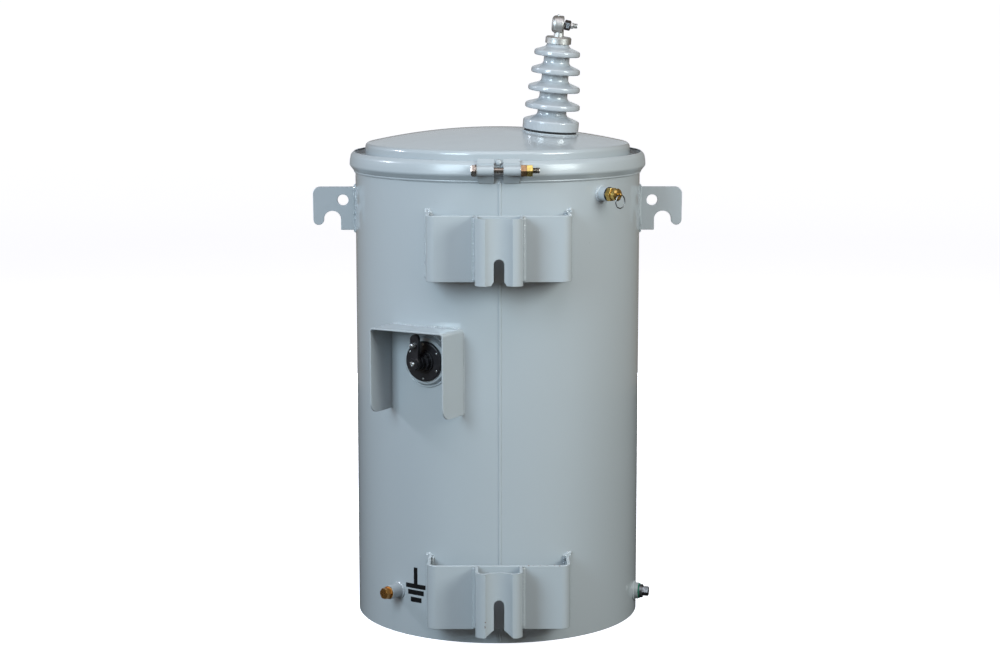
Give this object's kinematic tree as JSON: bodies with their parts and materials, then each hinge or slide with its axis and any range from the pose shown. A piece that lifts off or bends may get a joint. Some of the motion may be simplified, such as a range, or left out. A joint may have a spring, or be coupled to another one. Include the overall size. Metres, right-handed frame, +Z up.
{
  "type": "pole mounted transformer",
  "caption": "Single-phase pole mounted transformer: round oil tank, banded domed cover, shed bushing, pole brackets, lifting lugs and hooded tap changer.",
  "frame": {"origin": "centre of the tank's bottom edge, on the surface it stands on", "axes": "+Z up along the tank; -Y towards the pole, out of the hanger brackets; +X to the right seen from the pole"},
  "size_m": [0.6758, 0.7292, 1.0967],
  "materials": {
    "tank_paint": "glossy baked enamel over steel, light bluish gray",
    "porcelain_glaze": "glossy gray glaze",
    "nitrile_gasket": "matt black",
    "green_gasket": "satin green",
    "brass": "turned, lightly dulled",
    "bronze": "turned, warm brown",
    "yellow_zinc": "yellow passivated zinc plate",
    "zinc_steel": "bright zinc plate",
    "dark_steel": "dark steel, oiled",
    "tinned_alloy": "tin plated, satin",
    "switch_plastic": "moulded black, slight sheen",
    "core_steel": "laminated electrical steel"
  },
  "bodies": {
    "transformer": {"tank_shell": "tank_paint", "tank_bottom": "tank_paint", "tank_cover": "tank_paint", "clamp_band": "tank_paint", "band_lug_left": "tank_paint", "band_lug_right": "tank_paint", "lifting_lug_left": "tank_paint", "lifting_lug_right": "tank_paint", "upper_hanger_bow": "tank_paint", "upper_hanger_pad": "tank_paint", "lower_hanger_bow": "tank_paint", "lower_hanger_pad": "tank_paint", "bushing_pad": "tank_paint", "tap_hood": "tank_paint", "tap_boss": "tank_paint", "relief_boss": "tank_paint", "ground_boss": "tank_paint", "drain_boss": "tank_paint", "low_voltage_bosses": "tank_paint", "cover_gasket": "nitrile_gasket", "bushing_gasket": "nitrile_gasket", "relief_washer": "nitrile_gasket", "band_bolt": "zinc_steel", "band_nut": "bronze", "band_lock_nut": "yellow_zinc", "bushing_porcelain": "porcelain_glaze", "bushing_cap": "tinned_alloy", "bushing_terminal": "tinned_alloy", "bushing_terminal_nut": "dark_steel", "tap_disc": "switch_plastic", "tap_collar": "switch_plastic", "relief_valve": "brass", "ground_bolt": "bronze", "drain_gasket": "green_gasket", "drain_plug": "dark_steel", "core_and_coil": "core_steel", "low_voltage_bushings": "porcelain_glaze", "low_voltage_terminals": "tinned_alloy"},
    "tap_handle": {"tap_handle": "switch_plastic", "tap_handle_screws": "zinc_steel"},
    "relief_ring": {"relief_ring": "zinc_steel"}
  },
  "joints": [
    {"name": "tap_handle_turn", "type": "hinge", "parent": "transformer", "child": "tap_handle", "pos_m": [-0.13926, -0.25437, 0.5025], "axis": [-0.4802, -0.8771, 0], "range_deg": [-72, 72]},
    {"name": "relief_ring_swing", "type": "hinge", "parent": "transformer", "child": "relief_ring", "pos_m": [0.21142, -0.21817, 0.791], "axis": [-0.7181, -0.6959, 0], "range_deg": [0, 90]}
  ]
}
